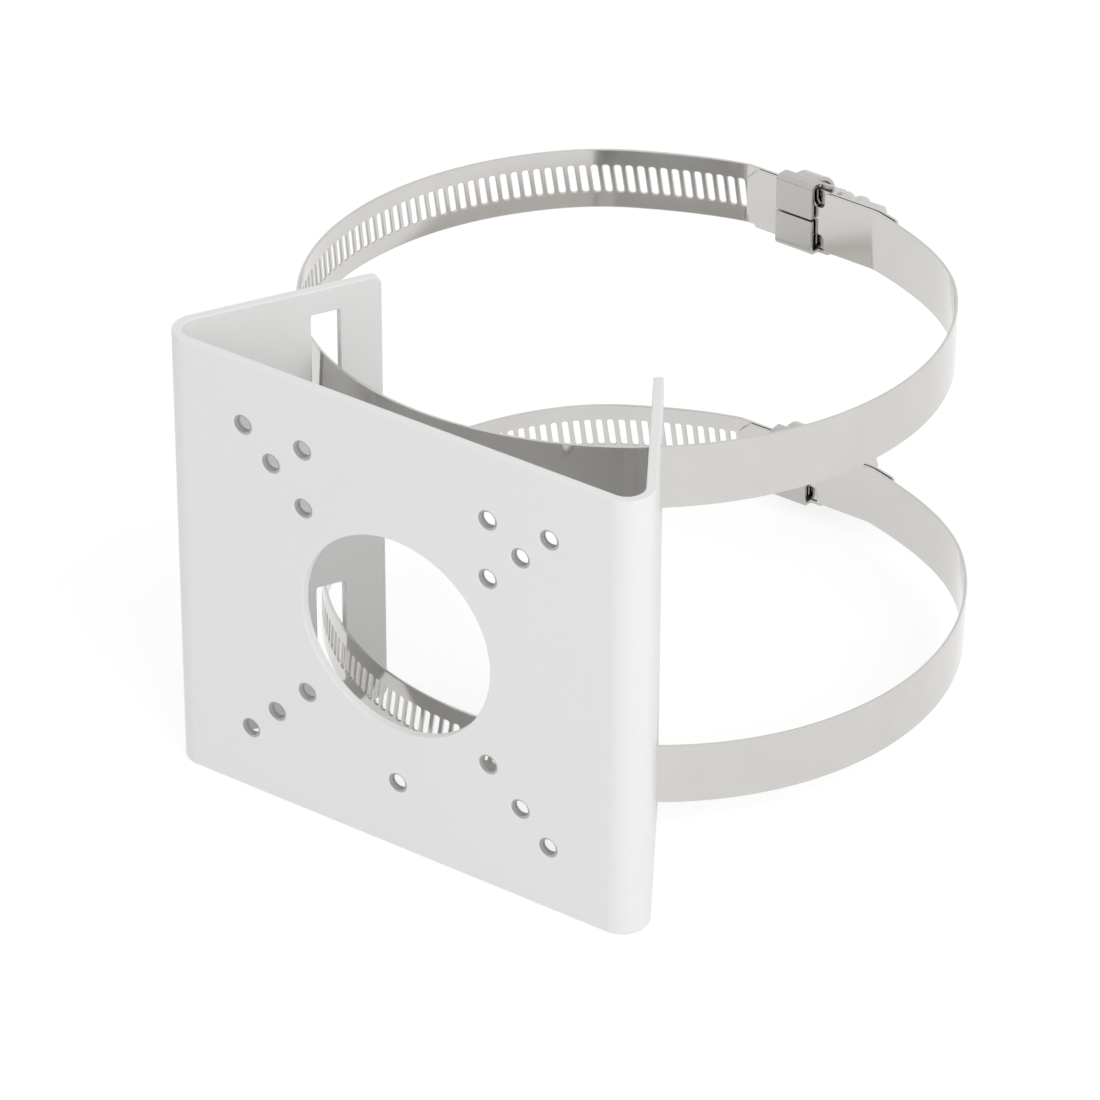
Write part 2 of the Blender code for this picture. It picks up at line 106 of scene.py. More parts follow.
class PlateSizes(bpy.types.PropertyGroup):
    sheet: length("Sheet", "Thickness of the folded sheet", 2.0)
    height: FloatProperty(
        name="Height",
        description="Height of the plate, read from the packed model",
        default=PLATE_HIGH.z - PLATE_LOW.z,
        unit="LENGTH",
    )
    fold_span: length("Fold Span", "Distance between the folds' sharp corners", 119.8)
    fold_radius: length("Fold Radius", "Inner radius of both folds", 3.6)
    lean: angle("Flange Lean", "How far a flange leans past square", 31.4)
    flange: length("Flange", "From the sharp corner to the flange's rear edge", 50.0)
    rear_corner: length("Rear Corner", "Radius of the flanges' rear corners", 2.0)
    rounding: length("Edge Rounding", "Radius that the paint gives to every edge", 0.3)
    centre_hole: length("Centre Hole", "Diameter of the cable hole", 44.6)
    screw_hole: length("Screw Hole", "Diameter of the small holes", 4.3)
    thread_core: length("Thread Core", "Diameter inside the tapped threads", 3.3)
    thread_pitch: length("Thread Pitch", "Pitch of the tapped threads", 0.7)
    outer_square: length("Outer Square", "Spacing of the outer holes", 72.0)
    middle_square: length("Middle Square", "Spacing of the middle holes", 58.8)
    inner_square: length("Inner Square", "Spacing of the inner holes", 43.6)
    upper_pair: length("Upper Pair", "Rise of the upper pair over the centre", 35.2)
    lower_hole: length("Lower Hole", "Drop of the single hole under the centre", 35.0)
    slot_width: length("Slot Width", "Width of the band slots", 6.2)
    slot_height: length("Slot Height", "Height of the band slots", 25.3)
    slot_rise: length("Slot Rise", "Slot centres above and below the middle", 32.3)
    slot_to_rear: length("Slot to Rear", "Slot centre to the flange's rear edge", 12.1)


class BandSizes(bpy.types.PropertyGroup):
    radius: length("Radius", "Middle of the strip, a hair inside the packed facets", 66.28)
    width: length("Width", "Width of the strip", 13.5)
    thickness: length("Thickness", "Thickness of the strip", 0.6)
    rounding: length("Edge Rounding", "Radius of the strip's edges", 0.24)
    flat_half: angle("Flat Half Angle", "Half of the straight stretch at the housing", 15.2)
    flat_drop: length("Flat Drop", "How far the flat's ends lie inside the circle", 2.6)
    drop_end: angle("Drop End", "Where the strip is back on its circle", 50.0)
    layer_gap: length("Layer Gap", "Gap between the two layers at the housing", 0.4)
    join_end: angle("Join End", "Where the outer layer has come in to the circle", 36.0)
    tail: angle("Tail", "How far the free end reaches past the housing", 20.7)
    tip_chamfer: length("Tip Chamfer", "Corners cut off the inner end", 2.6)
    neck_half: length("Neck Half Width", "Half of the neck between the side notches", 3.2)
    neck_low: length("Neck Low", "First side of the notches along the flat", 0.7)
    neck_high: length("Neck High", "Second side of the notches along the flat", 3.6)
    slit_pitch: angle("Slit Pitch", "Angle from slit to slit", 2.144)
    slit_width: length("Slit Width", "Width of a slit", 1.4)
    slit_length: length("Slit Length", "Length of a slit", 6.1)
    slit_lean: length("Slit Lean", "How far a slit's ends are offset", 0.9)
    slit_margin: length("Slit Margin", "Plain stretch before the first slit", 2.0)
    slits_upper: angle("Upper Reach", "Where the upper band's slits end", 125.0)
    slits_lower: angle("Lower Reach", "Where the lower band's slits end", 200.0)


class HousingSizes(bpy.types.PropertyGroup):
    sheet: length("Sheet", "Thickness of the pressed sheet", 0.9)
    rounding: length("Edge Rounding", "Radius of the pressed edges", 0.2)
    bend: length("Bend", "Radius of the bends, at the middle of the sheet", 0.75)
    edge_gap: length("Edge Gap", "Band edge to housing wall", 0.4)
    under_gap: length("Under Gap", "Inner layer to the folded legs", 0.35)
    over_gap: length("Over Gap", "Outer layer to the shoulders", 0.35)
    arch_gap: length("Arch Gap", "Thread crest to the arch", 0.35)
    seam_gap: length("Seam Gap", "Gap between the folded legs", 0.4)
    step_corner: length("Step Corner", "Radius of the steps in the flat pattern", 0.5)
    end_corner: length("End Corner", "Radius of the pattern's end corners", 0.35)
    start: length("Start", "Housing end next to the band's inner tip", -8.1)
    legs_end: length("Legs End", "Where the folded legs stop", 1.35)
    shoulders_end: length("Shoulders End", "Where the walls and shoulders stop", 4.1)
    arch_end: length("Arch End", "Where the arch stops", -2.5)


class ScrewSizes(bpy.types.PropertyGroup):
    crest: length("Crest Radius", "Radius over the thread crests", 4.6)
    root: length("Root Radius", "Radius at the thread's root", 3.4)
    over_band: length("Over Band", "Thread crest to the outer layer", 0.4)
    lead: length("Lead", "Advance of the thread in one turn", 2.5)
    worm_start: length("Worm Start", "Free end of the worm", -7.8)
    worm_end: length("Worm End", "Head end of the thread", 4.8)
    neck: length("Neck Radius", "Radius between worm and collar", 2.6)
    collar: length("Collar Radius", "Radius of the collar", 4.6)
    collar_start: length("Collar Start", "Start of the collar", 6.7)
    collar_end: length("Collar End", "End of the collar", 8.0)
    across_flats: length("Across Flats", "Width of the hexagonal head", 8.0)
    head_end: length("Head End", "Outer end of the head", 12.3)
    drive_width: length("Drive Slot Width", "Width of the driver slot", 1.3)
    drive_depth: length("Drive Slot Depth", "Depth of the driver slot", 2.2)
    facets: IntProperty(name="Facets", description="Steps round a screw", default=144, min=12)


class Finishes(bpy.types.PropertyGroup):
    paint: colour("Paint", "Powder coat", (0.84, 0.84, 0.835))
    # Thread colour is about half the paint's: partly bare cut threads, partly painted shade inside the
    # small holes
    thread: colour("Thread", "Walls of the tapped holes", (0.46, 0.455, 0.445))
    band: colour("Band Steel", "Bright rolled strip", (0.62, 0.605, 0.585))
    housing: colour("Housing Steel", "Bright pressed sheet", (0.50, 0.487, 0.47))
    screw: colour("Screw Steel", "Plated screw", (0.62, 0.61, 0.59))
    paint_roughness: share("Paint Roughness", "Roughness of the powder coat", 0.46)
    band_roughness: share("Band Roughness", "Roughness of the strip", 0.10)
    housing_roughness: share("Housing Roughness", "Roughness of the pressed sheet", 0.17)
    screw_roughness: share("Screw Roughness", "Roughness of the screw", 0.24)


class StageSettings(bpy.types.PropertyGroup):
    lens: FloatProperty(name="Lens", description="Focal length on a 36 mm sensor", default=208.98)
    azimuth: angle("Azimuth", "Camera's turn from the front towards the right", 34.09)
    elevation: angle("Elevation", "Camera's height over the horizon", 33.58)
    roll: angle("Roll", "Camera's roll", -0.18)
    place: FloatVectorProperty(
        name="Place",
        description="Camera position",
        default=(0.60056, -0.83370, 0.75284),
        precision=5,
        subtype="XYZ",
        unit="LENGTH",
    )
    horizon: FloatProperty(name="Horizon", description="World light from the sides", default=0.88)
    zenith: FloatProperty(name="Zenith", description="World light from above", default=0.63)
    side_light: FloatProperty(
        name="Side Light", description="Lamp at the right front, in watts", default=5.8
    )


class BracketSettings(bpy.types.PropertyGroup):
    plate: PointerProperty(type=PlateSizes)
    band: PointerProperty(type=BandSizes)
    housing: PointerProperty(type=HousingSizes)
    screw: PointerProperty(type=ScrewSizes)
    finish: PointerProperty(type=Finishes)
    stage: PointerProperty(type=StageSettings)


def settings():
    return bpy.context.scene.pole_bracket


# Flat patterns

def rounded_outline(corners, steps=5):
    """Polygon with its corners rounded.

    Each corner is u, v and a radius. The arc starts where it touches the side before the
    corner and ends where it touches the side after it. A radius of zero keeps the corner.
    """
    count = len(corners)
    points = []
    for i, (u, v, radius) in enumerate(corners):
        here = np.array((u, v))
        before = np.array(corners[i - 1][:2]) - here
        after = np.array(corners[(i + 1) % count][:2]) - here
        if radius <= 0.0:
            points.append(here)
            continue
        before /= np.linalg.norm(before)
        after /= np.linalg.norm(after)
        half = math.acos(np.clip(before @ after, -1.0, 1.0)) / 2
        middle = (before + after) / np.linalg.norm(before + after)
        centre = here + middle * radius / math.sin(half)
        first = here + before * radius / math.tan(half) - centre
        last = here + after * radius / math.tan(half) - centre
        sweep = math.pi - 2 * half
        for k in range(steps + 1):
            part = k / steps
            mix = math.sin((1 - part) * sweep) * first + math.sin(part * sweep) * last
            points.append(centre + mix / math.sin(sweep))
    return np.array(points)


def circle_outline(u, v, radius, count):
    """Circle as an outline: its centre plus the radius times cosine and sine of even steps."""
    turn = np.linspace(0.0, 2 * math.pi, count, endpoint=False)
    return np.stack([u + radius * np.cos(turn), v + radius * np.sin(turn)], axis=1)


def signed_area(loop):
    following = np.roll(loop, -1, axis=0)
    return 0.5 * np.sum(loop[:, 0] * following[:, 1] - loop[:, 1] * following[:, 0])


def oriented(loops):
    """Outer loop anticlockwise and holes clockwise, so that metal is always on the left."""
    turned = []
    for i, loop in enumerate(loops):
        wanted = 1.0 if i == 0 else -1.0
        turned.append(loop if signed_area(loop) * wanted > 0 else loop[::-1].copy())
    return turned


def split_at(loop, columns, clear):
    """Adds a point wherever a side of the loop crosses a column of constant u."""
    points = []
    for here, there in zip(loop, np.roll(loop, -1, axis=0)):
        points.append(here)
        low, high = sorted((here[0], there[0]))
        inside = columns[(columns > low + clear) & (columns < high - clear)]
        if there[0] < here[0]:
            inside = inside[::-1]
        for u in inside:
            part = (u - here[0]) / (there[0] - here[0])
            points.append(here + part * (there - here))
    return np.array(points)


def side_normals(loop):
    """In-plane direction out of the metal at each point, stretched so sides keep their offset."""
    step = np.roll(loop, -1, axis=0) - loop
    step /= np.linalg.norm(step, axis=1)[:, None]
    after = np.stack([step[:, 1], -step[:, 0]], axis=1)
    before = np.roll(after, 1, axis=0)
    return (before + after) / (1.0 + np.sum(before * after, axis=1))[:, None]


def inside_loops(points, loops):
    """Even-odd rule: a point is in the metal when a ray along u meets an odd number of sides."""
    hits = np.zeros(len(points), int)
    for loop in loops:
        a = loop
        b = np.roll(loop, -1, axis=0)
        u, v = points[:, 0][:, None], points[:, 1][:, None]
        spans = (a[:, 1] > v) != (b[:, 1] > v)
        rise = np.where(b[:, 1] == a[:, 1], 1.0, b[:, 1] - a[:, 1])
        cross = a[:, 0] + (v - a[:, 1]) / rise * (b[:, 0] - a[:, 0])
        hits += np.sum(spans & (u < cross), axis=1)
    return hits % 2 == 1


def far_from_loops(points, loops, clear):
    """Which points lie further than a clearance from every corner point of the loops."""
    corners = np.concatenate(loops)
    gaps = np.linalg.norm(points[:, None, :] - corners[None, :, :], axis=2)
    return gaps.min(axis=1) > clear


def fill_pattern(loops, inner):
    """Delaunay triangles of the pattern, with the holes left open."""
    points = np.concatenate(loops + [inner])
    edges = []
    start = 0
    for loop in loops:
        count = len(loop)
        edges += [(start + i, start + (i + 1) % count) for i in range(count)]
        start += count
    in_mm = [Vector(p) for p in points / MM]
    made, _, faces, sources, _, _ = delaunay_2d_cdt(in_mm, edges, [], 0, 1e-6)
    if len(made) != len(points):
        raise ValueError("the flat pattern crosses itself")
    owner = np.array([source[0] for source in sources])
    triangles = owner[np.array(faces)]
    middle = points[triangles].mean(axis=1)
    triangles = triangles[inside_loops(middle, loops)]
    a, b, c = (points[triangles[:, k]] for k in range(3))
    turn = (b[:, 0] - a[:, 0]) * (c[:, 1] - a[:, 1]) - (b[:, 1] - a[:, 1]) * (c[:, 0] - a[:, 0])
    triangles[turn < 0] = triangles[turn < 0][:, ::-1]
    return points, triangles


def rim_profile(thickness, rounding, steps=3):
    """Edge of a sheet: a quarter round, a straight side and a quarter round.

    For each step it gives the distance in from the outline, the depth through the sheet
    and the angle of the surface's normal out of the sheet's plane.
    """
    upper = np.linspace(math.pi / 2, 0.0, steps + 1)
    turn = np.concatenate([upper, upper[::-1] * -1.0])
    side = np.concatenate([np.ones(steps + 1), -np.ones(steps + 1)])
    inset = rounding * (1.0 - np.cos(turn))
    depth = side * (thickness / 2 - rounding) + rounding * np.sin(turn)
    return inset, depth, turn


def folded_sheet(name, loops, columns, rows, fold, thickness, rounding, clear):
    """A sheet-metal piece from its flat pattern.

    The pattern's filled surface is placed at plus and minus half the thickness. Along each
    outline the rim profile is carried from one face to the other, its inset measured
    across the outline and its depth through the sheet. fold turns u, v and depth into
    places, and gives the directions of u, v and depth there. Normals come from the same
    directions: cosine of the profile's angle times the way out of the metal in the plane,
    plus its sine times the direction of depth.
    """
    loops = [split_at(loop, columns, clear / 4) for loop in oriented(loops)]
    outward = np.concatenate([side_normals(loop) for loop in loops])
    outline = np.concatenate(loops)
    inset, depth, turn = rim_profile(thickness, rounding)
    sizes = [len(loop) for loop in loops]
    starts = np.cumsum([0] + sizes)
    shrunk = outline - inset[0] * outward
    flat_loops = [shrunk[starts[i]:starts[i + 1]] for i in range(len(loops))]
    lattice = np.stack(np.meshgrid(columns, rows), axis=-1).reshape(-1, 2)
    lattice = lattice[inside_loops(lattice, flat_loops)]
    lattice = lattice[far_from_loops(lattice, flat_loops, clear)]
    flat, triangles = fill_pattern(flat_loops, lattice)

    rims, total = len(outline), len(flat)
    last = len(inset) - 1
    unit = outward / np.linalg.norm(outward, axis=1)[:, None]
    no_side = np.zeros_like(flat)
    spots = [flat, flat] + [outline - inset[k] * outward for k in range(1, last)]
    depths = [np.full(total, depth[0]), np.full(total, depth[last])]
    depths += [np.full(rims, depth[k]) for k in range(1, last)]
    sides = [no_side, no_side] + [unit * math.cos(turn[k]) for k in range(1, last)]
    lifts = [np.ones(total), -np.ones(total)]
    lifts += [np.full(rims, math.sin(turn[k])) for k in range(1, last)]
    spots, depths = np.concatenate(spots), np.concatenate(depths)
    sides, lifts = np.concatenate(sides), np.concatenate(lifts)
    places, along_u, along_v, out = fold(spots[:, 0], spots[:, 1], depths)
    normals = sides[:, :1] * along_u + sides[:, 1:] * along_v + lifts[:, None] * out

    def ring(k):
        if k == 0:
            return np.arange(rims)
        if k == last:
            return total + np.arange(rims)
        return 2 * total + (k - 1) * rims + np.arange(rims)

    following = np.concatenate([
        starts[i] + (np.arange(sizes[i]) + 1) % sizes[i] for i in range(len(sizes))
    ])
    faces = triangles.tolist() + (triangles[:, ::-1] + total).tolist()
    for k in range(last):
        near, far = ring(k), ring(k + 1)
        faces += np.stack([near, far, far[following], near[following]], axis=1).tolist()
    rim = np.concatenate([np.zeros(2 * total), np.ones(rims * (last - 1))])
    made = mesh_piece(name, places, faces, normals)
    add_pattern(made, spots, rim)
    return made


def mesh_piece(name, points, faces, normals=None):
    mesh = bpy.data.meshes.new(name)
    mesh.from_pydata(points.tolist(), [], faces)
    mesh.polygons.foreach_set("use_smooth", np.ones(len(mesh.polygons), bool))
    if normals is not None:
        mesh.normals_split_custom_set_from_vertices(normals.tolist())
    mesh.update()
    made = bpy.data.objects.new(name, mesh)
    bpy.context.scene.collection.objects.link(made)
    return made


def add_pattern(made, spots, rim):
    """Keeps the flat pattern as a UV map in centimetres, and marks the rims."""
    mesh = made.data
    corner = np.zeros(len(mesh.loops), int)
    mesh.loops.foreach_get("vertex_index", corner)
    layer = mesh.uv_layers.new(name="pattern")
    layer.data.foreach_set("uv", (spots[corner] / (10 * MM)).astype(np.float32).ravel())
    attribute = mesh.attributes.new("rim", "FLOAT", "POINT")
    attribute.data.foreach_set("value", rim.astype(np.float32))


def turned_body(name, places):
    """A closed body from rings of points: neighbours are joined, the ends close on a centre."""
    rings, count = places.shape[:2]
    points = np.concatenate([
        places.reshape(-1, 3),
        places[0].mean(axis=0, keepdims=True),
        places[-1].mean(axis=0, keepdims=True),
    ])
    i = np.arange(count)
    j = (i + 1) % count
    faces = []
    for k in range(rings - 1):
        a, b = k * count, (k + 1) * count
        faces += np.stack([a + i, a + j, b + j, b + i], axis=1).tolist()
    first, last = rings * count, rings * count + 1
    end = (rings - 1) * count
    faces += np.stack([j, i, np.full(count, first)], axis=1).tolist()
    faces += np.stack([end + i, end + j, np.full(count, last)], axis=1).tolist()
    return mesh_piece(name, points, faces)


# Folding functions

def plate_fold(sizes):
    """Fold of the plate: flat, a bend of constant radius, then a flat flange, on both sides.

    With a the angle turned so far and r the bend's middle radius, the sheet's middle runs
    to x = flat half + r sin a + rest cos bend and y = half sheet + r (1 - cos a) + rest
    sin bend. The left half mirrors the right one.
    """
    radius = sizes.fold_radius + sizes.sheet / 2
    bend = math.pi / 2 + sizes.lean
    setback = (sizes.fold_radius + sizes.sheet) / math.tan((math.pi / 2 - sizes.lean) / 2)
    half_flat = sizes.fold_span / 2 - setback

    def fold(u, v, depth):
        side = np.where(u < 0, -1.0, 1.0)
        past = np.maximum(np.abs(u) - half_flat, 0.0)
        turn = np.minimum(past / radius, bend)
        rest = np.maximum(past - radius * bend, 0.0)
        x = np.minimum(np.abs(u), half_flat) + radius * np.sin(turn) + rest * math.cos(bend)
        y = sizes.sheet / 2 + radius * (1 - np.cos(turn)) + rest * math.sin(bend)
        zero = np.zeros_like(u)
        out = np.stack([side * np.sin(turn), -np.cos(turn), zero], axis=1)
        along_u = np.stack([np.cos(turn), side * np.sin(turn), zero], axis=1)
        along_v = np.stack([zero, zero, zero + 1.0], axis=1)
        middle = np.stack([side * x, y, v + sizes.height / 2], axis=1)
        return middle + depth[:, None] * out, along_u, along_v, out

    fold.half_flat = half_flat
    fold.bend_length = radius * bend
    fold.flange_start = setback
    return fold


def unit(values):
    vector = np.array(values, float)
    return vector / np.linalg.norm(vector)


class Ring:
    """One clamp's frame, read from its joints: centre, axis, outward and along the worm."""

    def __init__(self, label, band, screw):
        turn = JOINTS["clamp_%s_turn" % label]
        spin = JOINTS["worm_%s_spin" % label]
        self.band = band
        self.centre = np.array(turn["pos_m"], float)
        self.axis = unit(turn["axis"])
        self.along = unit(spin["axis"])
        self.out = np.cross(self.axis, self.along)
        self.layer_rise = band.thickness + band.layer_gap
        self.worm_rise = self.layer_rise + band.thickness / 2 + screw.over_band + screw.crest
        self.flat_distance = (band.radius - band.flat_drop) * math.cos(band.flat_half)

    def flat_place(self, along, outward, up):
        """Place in the flat's frame: centre plus distances outward, up the axis and along."""
        return (
            self.centre
            + (self.flat_distance + outward)[:, None] * self.out
            + up[:, None] * self.axis
            + along[:, None] * self.along
        )

    def circle_place(self, turn):
        """Strip on its circle, sinking smoothly to a straight chord near the housing."""
        band = self.band
        size = np.abs((turn + math.pi) % (2 * math.pi) - math.pi)
        part = (size - band.flat_half) / (band.drop_end - band.flat_half)
        part = np.clip(part, 0.0, 1.0)
        curved = band.radius - band.flat_drop * (0.5 + 0.5 * np.cos(math.pi * part))
        straight = self.flat_distance / np.cos(np.minimum(size, band.flat_half))
        radius = np.where(size < band.flat_half, straight, curved)
        return np.stack([radius * np.cos(turn), radius * np.sin(turn)], axis=1)

    def rise(self, turn):
        """How far the strip runs outside the inner layer, near its perforated end."""
        band = self.band
        part = (turn - band.flat_half) / (band.join_end - band.flat_half)
        return self.layer_rise * (0.5 + 0.5 * np.cos(math.pi * np.clip(part, 0.0, 1.0)))

    def path(self, turn):
        """Middle of the strip and its outward normal, from the difference of two near points."""
        near = math.radians(0.25)

        def normal(before, after):
            step = after - before
            step /= np.linalg.norm(step, axis=1)[:, None]
            return np.stack([step[:, 1], -step[:, 0]], axis=1)

        def middle(t):
            spot = self.circle_place(t)
            out = normal(self.circle_place(t - near), self.circle_place(t + near))
            return spot + self.rise(t)[:, None] * out

        return middle(turn), normal(middle(turn - near), middle(turn + near))

    def fold(self, u, v, depth):
        """Strip wrapped round the clamp: u is the angle times the radius, v runs up the axis."""
        spot, normal = self.path(u / self.band.radius)
        spot = spot + depth[:, None] * normal
        around = -self.along
        out = normal[:, :1] * self.out + normal[:, 1:] * around
        along_u = -normal[:, 1:] * self.out + normal[:, :1] * around
        along_v = np.broadcast_to(self.axis, out.shape)
        place = self.centre + spot[:, :1] * self.out + spot[:, 1:] * around + v[:, None] * self.axis
        return place, along_u, along_v, out


class SectionPath:
    """A path of straight runs and round bends in the housing's section, measured by length."""

    def __init__(self, corners, step):
        outline = rounded_outline(corners, steps=10)
        lengths = np.linalg.norm(np.diff(outline, axis=0), axis=1)
        self.at = np.concatenate([[0.0], np.cumsum(lengths)])
        self.points = outline
        self.total = self.at[-1]
        self.columns = np.unique(np.concatenate([
            self.at[1:-1], np.arange(step, self.total, step)
        ]))
        keep = np.concatenate([[True], np.diff(self.columns) > step / 20])
        self.columns = self.columns[keep]

    def place(self, u):
        return np.stack([np.interp(u, self.at, self.points[:, k]) for k in (0, 1)], axis=1)

    def length_at(self, axis, value, start=0):
        """Length where one coordinate first crosses a value, and the number of the next point."""
        side = self.points[start:, axis] > value
        k = start + 1 + int(np.argmax(side[1:] != side[0]))
        before, after = self.points[k - 1, axis], self.points[k, axis]
        part = (value - before) / (after - before)
        return self.at[k - 1] + part * (self.at[k] - self.at[k - 1]), k

    def heading(self, u, near):
        step = self.place(np.minimum(u + near, self.total)) - self.place(np.maximum(u - near, 0.0))
        return step / np.linalg.norm(step, axis=1)[:, None]


# Node groups and materials

def new_group(name, inputs, outputs):
    group = bpy.data.node_groups.new(name, "ShaderNodeTree")
    for label, kind, default in inputs:
        socket = group.interface.new_socket(label, in_out="INPUT", socket_type=kind)
        if default is not None:
            socket.default_value = default
    for label, kind in outputs:
        group.interface.new_socket(label, in_out="OUTPUT", socket_type=kind)
    return group, group.nodes.new("NodeGroupInput"), group.nodes.new("NodeGroupOutput")


def set_or_link(tree, socket, value):
    """A number goes on the socket itself, and an output is linked to it."""
    if isinstance(value, (int, float)):
        socket.default_value = value
    else:
        tree.links.new(value, socket)


def math_node(tree, operation, first, second):
    node = tree.nodes.new("ShaderNodeMath")
    node.operation = operation
    for socket, value in zip(node.inputs, (first, second)):
        set_or_link(tree, socket, value)
    return node.outputs[0]


def noise_node(tree, vector, scale, detail):
    node = tree.nodes.new("ShaderNodeTexNoise")
    node.inputs["Detail"].default_value = detail
    set_or_link(tree, node.inputs["Scale"], scale)
    tree.links.new(vector, node.inputs["Vector"])
    return node.outputs["Fac"]


def rolled_grain_group():
    """Fine lines along the strip: noise stretched along u, plus a slow change of tone."""
    group, start, end = new_group(
        "rolled_grain",
        [("Vector", "NodeSocketVector", None), ("Fineness", "NodeSocketFloat", 60.0),
         ("Stretch", "NodeSocketFloat", 0.03)],
        [("Lines", "NodeSocketFloat"), ("Tone", "NodeSocketFloat")],
    )
    split = group.nodes.new("ShaderNodeSeparateXYZ")
    group.links.new(start.outputs["Vector"], split.inputs[0])
    joined = group.nodes.new("ShaderNodeCombineXYZ")
    stretched = math_node(group, "MULTIPLY", split.outputs[0], start.outputs["Stretch"])
    group.links.new(stretched, joined.inputs[0])
    group.links.new(split.outputs[1], joined.inputs[1])
    lines = noise_node(group, joined.outputs[0], start.outputs["Fineness"], 3.0)
    tone = noise_node(group, start.outputs["Vector"], 0.9, 2.0)
    group.links.new(lines, end.inputs["Lines"])
    group.links.new(tone, end.inputs["Tone"])
    return group


def fine_speckle_group():
    """Small grain in the surface: two sizes of noise, and a slow change of tone."""
    group, start, end = new_group(
        "fine_speckle",
        [("Vector", "NodeSocketVector", None), ("Grain Scale", "NodeSocketFloat", 1400.0)],
        [("Height", "NodeSocketFloat"), ("Tone", "NodeSocketFloat")],
    )
    fine = noise_node(group, start.outputs["Vector"], start.outputs["Grain Scale"], 2.0)
    coarse_scale = math_node(group, "MULTIPLY", start.outputs["Grain Scale"], 0.3)
    coarse = noise_node(group, start.outputs["Vector"], coarse_scale, 1.0)
    height = math_node(group, "ADD", fine, coarse)
    tone = noise_node(group, start.outputs["Vector"], 18.0, 2.0)
    group.links.new(height, end.inputs["Height"])
    group.links.new(tone, end.inputs["Tone"])
    return group


def shade_range_group():
    """A colour between two given colours by a mask."""
    group, start, end = new_group(
        "shade_range",
        [("Mask", "NodeSocketFloat", 0.5), ("Low", "NodeSocketColor", (0.5, 0.5, 0.5, 1.0)),
         ("High", "NodeSocketColor", (0.8, 0.8, 0.8, 1.0))],
        [("Colour", "NodeSocketColor")],
    )
    mix = group.nodes.new("ShaderNodeMix")
    mix.data_type = "RGBA"
    group.links.new(start.outputs["Mask"], mix.inputs["Factor"])
    group.links.new(start.outputs["Low"], mix.inputs["A"])
    group.links.new(start.outputs["High"], mix.inputs["B"])
    group.links.new(mix.outputs["Result"], end.inputs["Colour"])
    return group


def group_node(tree, group):
    node = tree.nodes.new("ShaderNodeGroup")
    node.node_tree = group
    return node


def shared_group(name):
    makers = {
        "rolled_grain": rolled_grain_group,
        "fine_speckle": fine_speckle_group,
        "shade_range": shade_range_group,
    }
    return bpy.data.node_groups.get(name) or makers[name]()


def new_material(name):
    material = bpy.data.materials.get(name) or bpy.data.materials.new(name)
    material.use_nodes = True
    tree = material.node_tree
    return material, tree, tree.nodes["Principled BSDF"]


def scaled(value, factor):
    return tuple(min(part * factor, 1.0) for part in value) + (1.0,)


def map_range(tree, value, low, high):
    node = tree.nodes.new("ShaderNodeMapRange")
    tree.links.new(value, node.inputs["Value"])
    node.inputs["To Min"].default_value = low
    node.inputs["To Max"].default_value = high
    return node.outputs["Result"]


def add_bump(tree, shader, height, strength, distance):
    bump = tree.nodes.new("ShaderNodeBump")
    bump.inputs["Strength"].default_value = strength
    bump.inputs["Distance"].default_value = distance
    tree.links.new(height, bump.inputs["Height"])
    tree.links.new(bump.outputs["Normal"], shader.inputs["Normal"])


def add_shade(tree, shader, base, mask, low, high):
    """Base colour between two shares of one colour, by a mask."""
    shade = group_node(tree, shared_group("shade_range"))
    shade.inputs["Low"].default_value = scaled(base, low)
    shade.inputs["High"].default_value = scaled(base, high)
    tree.links.new(mask, shade.inputs["Mask"])
    tree.links.new(shade.outputs["Colour"], shader.inputs["Base Color"])


def add_speckle(tree):
    """Fine speckle on the object's own coordinates."""
    place = tree.nodes.new("ShaderNodeTexCoord")
    speckle = group_node(tree, shared_group("fine_speckle"))
    tree.links.new(place.outputs["Object"], speckle.inputs["Vector"])
    return speckle


def powder_coat(name, base, roughness):
    """Light grey powder coat: fine orange peel and a faint change of tone."""
    material, tree, shader = new_material(name)
    speckle = add_speckle(tree)
    add_shade(tree, shader, base, speckle.outputs["Tone"], 0.985, 1.01)
    rough = map_range(tree, speckle.outputs["Tone"], roughness - 0.04, roughness + 0.04)
    tree.links.new(rough, shader.inputs["Roughness"])
    shader.inputs["Specular IOR Level"].default_value = 0.4
    add_bump(tree, shader, speckle.outputs["Height"], 0.10, 0.00003)
    return material


def bright_steel(name, base, roughness, fineness, stretch):
    """Rolled stainless: lines along the sheet, brushed-bright faces and duller sheared rims."""
    material, tree, shader = new_material(name)
    pattern = tree.nodes.new("ShaderNodeUVMap")
    pattern.uv_map = "pattern"
    grain = group_node(tree, shared_group("rolled_grain"))
    grain.inputs["Fineness"].default_value = fineness
    grain.inputs["Stretch"].default_value = stretch
    tree.links.new(pattern.outputs["UV"], grain.inputs["Vector"])
    add_shade(tree, shader, base, grain.outputs["Tone"], 0.95, 1.04)
    rim = tree.nodes.new("ShaderNodeAttribute")
    rim.attribute_name = "rim"
    face = map_range(tree, grain.outputs["Lines"], roughness * 0.7, roughness * 1.4)
    dull = math_node(tree, "MULTIPLY", rim.outputs["Fac"], 0.12)
    tree.links.new(math_node(tree, "ADD", face, dull), shader.inputs["Roughness"])
    shader.inputs["Metallic"].default_value = 1.0
    add_bump(tree, shader, grain.outputs["Lines"], 0.06, 0.00002)
    return material


def plated_steel(name, base, roughness):
    """Plated screw steel: fine speckle in roughness and relief."""
    material, tree, shader = new_material(name)
    speckle = add_speckle(tree)
    speckle.inputs["Grain Scale"].default_value = 2600.0
    add_shade(tree, shader, base, speckle.outputs["Tone"], 0.92, 1.06)
    rough = map_range(tree, speckle.outputs["Height"], roughness - 0.06, roughness + 0.06)
    tree.links.new(rough, shader.inputs["Roughness"])
    shader.inputs["Metallic"].default_value = 1.0
    add_bump(tree, shader, speckle.outputs["Height"], 0.08, 0.00002)
    return material


